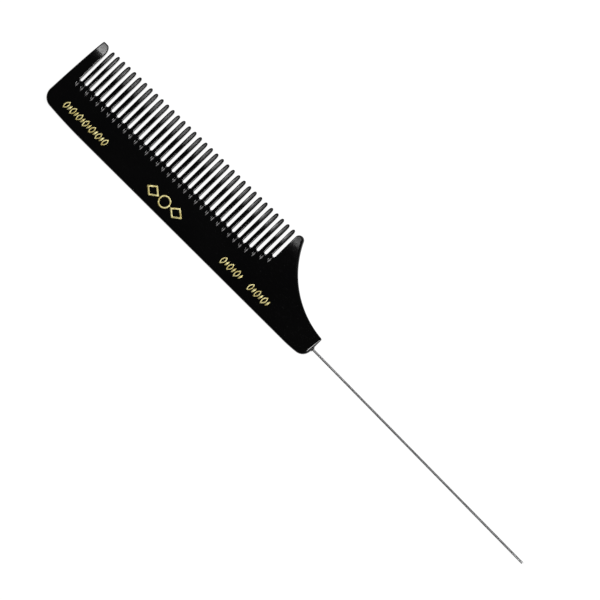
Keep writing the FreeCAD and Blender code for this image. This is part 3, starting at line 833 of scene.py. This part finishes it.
def leaf_row(start, length, low, height, count):
    """Row of slanted leaves: open ones, with a small solid one after each."""
    step = (length - LEAF_SLANT - OPEN_LEAF_WIDTH) / (count - 1)
    xs = start + (LEAF_SLANT + OPEN_LEAF_WIDTH) / 2 + np.arange(count) * step
    y = low + height / 2
    tip = OPEN_LEAF_LINE * math.hypot(1, height / (2 * OPEN_LEAF_WIDTH))
    inner = 1 - 2 * tip / height
    shapes = []
    for x in xs[::2]:
        shapes.append((leaf(x, y, LEAF_SLANT, height, OPEN_LEAF_WIDTH),
                       leaf(x, y, LEAF_SLANT * inner, height * inner,
                            OPEN_LEAF_WIDTH - 2 * OPEN_LEAF_LINE)))
    for x in xs[1::2]:
        shapes.append((leaf(x, y, LEAF_SLANT * SMALL_LEAF_SHARE, height * SMALL_LEAF_SHARE,
                            SMALL_LEAF_WIDTH), None))
    return shapes


def diamond(x, y, wide, tall):
    """Diamond about a centre."""
    return np.array([(x, y - tall), (x + wide, y), (x, y + tall), (x - wide, y)])


def left_mark():
    """One long row of leaves."""
    return leaf_row(*LEFT_MARK, LEFT_LEAVES)


def centre_mark():
    """Open ring between two open diamonds."""
    start, length, low, height = CENTRE_MARK
    x, y, tall = start + length / 2, low + height / 2, height / 2
    wide = (length - height) / 4 - RING_CLEARANCE
    inset = FOIL_LINE * math.hypot(wide, tall)
    shapes = [tuple(arc((x, y), r, 0, 2 * math.pi, 48) for r in (tall, tall - FOIL_LINE))]
    for middle in (x - length / 2 + wide, x + length / 2 - wide):
        shapes.append((diamond(middle, y, wide, tall),
                       diamond(middle, y, wide - inset / tall, tall - inset / wide)))
    return shapes


def right_mark():
    """Two short rows of leaves with a break between them."""
    start, length, low, height = RIGHT_MARK
    part = (length - RIGHT_BREAK) / 2
    return [shape for at in (start, start + part + RIGHT_BREAK)
            for shape in leaf_row(at, part, low, height, RIGHT_LEAVES)]


def foil(name, shapes):
    """Thin film that fills each bed: a closed slab between two curves.

    An open shape is the slab between its outer and inner loops; a leaf is the slab
    between its two sides.
    """
    points, faces = [], []
    low = THICKNESS / 2 - BED_DEPTH
    high = low + FOIL_THICKNESS
    for outer, inner in shapes:
        outer = at_bed_wall(outer, -1)
        if inner is None:
            half = len(outer) // 2 + 1
            one, two = outer[:half], np.concatenate([outer[:1], outer[:half - 2:-1]])
        else:
            one, two = outer, at_bed_wall(inner, 1)
        count = len(one)
        stack = [np.column_stack([c, np.full(count, z)])
                 for c, z in ((one, low), (one, high), (two, high), (two, low))]
        base = sum(len(p) for p in points)
        points.append(np.concatenate(stack))
        quads = np.array(grid_faces(4, count, True, inner is not None))
        faces += (quads + base).tolist()
    return new_piece(name, np.concatenate(points), faces, merge=True)


# ---- build ----------------------------------------------------------------------

ORNAMENTS = {
    "foil_mark_left": left_mark(),
    "foil_mark_centre": centre_mark(),
    "foil_mark_right": right_mark(),
}


def place(piece, node, material):
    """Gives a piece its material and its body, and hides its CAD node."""
    piece.data.materials.append(material)
    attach(piece, "root")
    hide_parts(node)


place(comb_plate([shape for shapes in ORNAMENTS.values() for shape in shapes]),
      "comb_plate", black_acetate())
place(tail_pin(), "tail_pin", steel_wire())
place(pin_cement(), "pin_cement", cement())
gold = gold_foil()
for node, shapes in ORNAMENTS.items():
    place(foil(node.replace("_mark", ""), shapes), node, gold)


# ---- floor, light and camera ----------------------------------------------------


def pale_floor():
    """Level floor under the comb, lit from within so that shadows stay faint."""
    r = Recipe("pale_floor")
    grain = r.noise(r.position(), 0.02)
    colour = r.mix(grain, (0.1, 0.1, 0.1, 1), (0.12, 0.12, 0.12, 1))
    material = r.finish(Base_Color=colour, Roughness=0.9, Emission_Color=(1, 1, 1, 1),
                        Emission_Strength=0.96)
    mesh = bpy.data.meshes.new("floor")
    reach, level = FLOOR_REACH * MM, cad_low.z - FLOOR_CLEARANCE * MM
    corners = [(-reach, -reach, level), (reach, -reach, level),
               (reach, reach, level), (-reach, reach, level)]
    mesh.from_pydata(corners, [], [(0, 1, 2, 3)])
    floor = bpy.data.objects.new("floor", mesh)
    bpy.context.scene.collection.objects.link(floor)
    mesh.materials.append(material)


def direction(azimuth, from_zenith):
    """Unit vector at an azimuth from +X towards +Y and an angle down from straight up."""
    azimuth, from_zenith = math.radians(azimuth), math.radians(from_zenith)
    flat = math.sin(from_zenith)
    return flat * math.cos(azimuth), flat * math.sin(azimuth), math.cos(from_zenith)


def softbox(name, aim, away, distance, size, power):
    """Area light that stands away from a point, at a distance from it, and faces it."""
    light = bpy.data.lights.new(name, "AREA")
    light.shape = "RECTANGLE"
    light.size, light.size_y = size
    light.energy = power
    lamp = bpy.data.objects.new(name, light)
    bpy.context.scene.collection.objects.link(lamp)
    away = Vector(away)
    lamp.location = Vector(aim) + away * distance
    lamp.rotation_euler = away.to_track_quat("Z", "Y").to_euler()


def room():
    """Dark studio all round."""
    world = bpy.data.worlds.new("room")
    world.use_nodes = True
    bpy.context.scene.world = world
    background = world.node_tree.nodes["Background"]
    background.inputs["Color"].default_value = (0.012, 0.012, 0.012, 1)


def camera():
    """Long lens straight above, turned so that the comb lies on the diagonal."""
    lens, sensor = 200.0, 36.0
    data = bpy.data.cameras.new("camera")
    data.lens, data.sensor_width = lens, sensor
    data.clip_start, data.clip_end = 0.01, 20
    eye = bpy.data.objects.new("camera", data)
    bpy.context.scene.collection.objects.link(eye)
    x, y = (at * MM for at in VIEW_CENTRE)
    eye.location = (x, y, plate_high.z + VIEW_WIDTH * MM * lens / sensor)
    eye.rotation_euler = (0, 0, VIEW_TURN)
    bpy.context.scene.camera = eye


pale_floor()
room()
softbox("key_softbox", (0, 0, 0), direction(3, 36), distance=1.2, size=(0.42, 0.4), power=8.6)
softbox("tip_softbox", FIRST_TEETH, direction(90, 28), distance=0.3, size=(0.1, 0.08), power=0.45)
camera()
bpy.context.scene.view_settings.view_transform = "Standard"
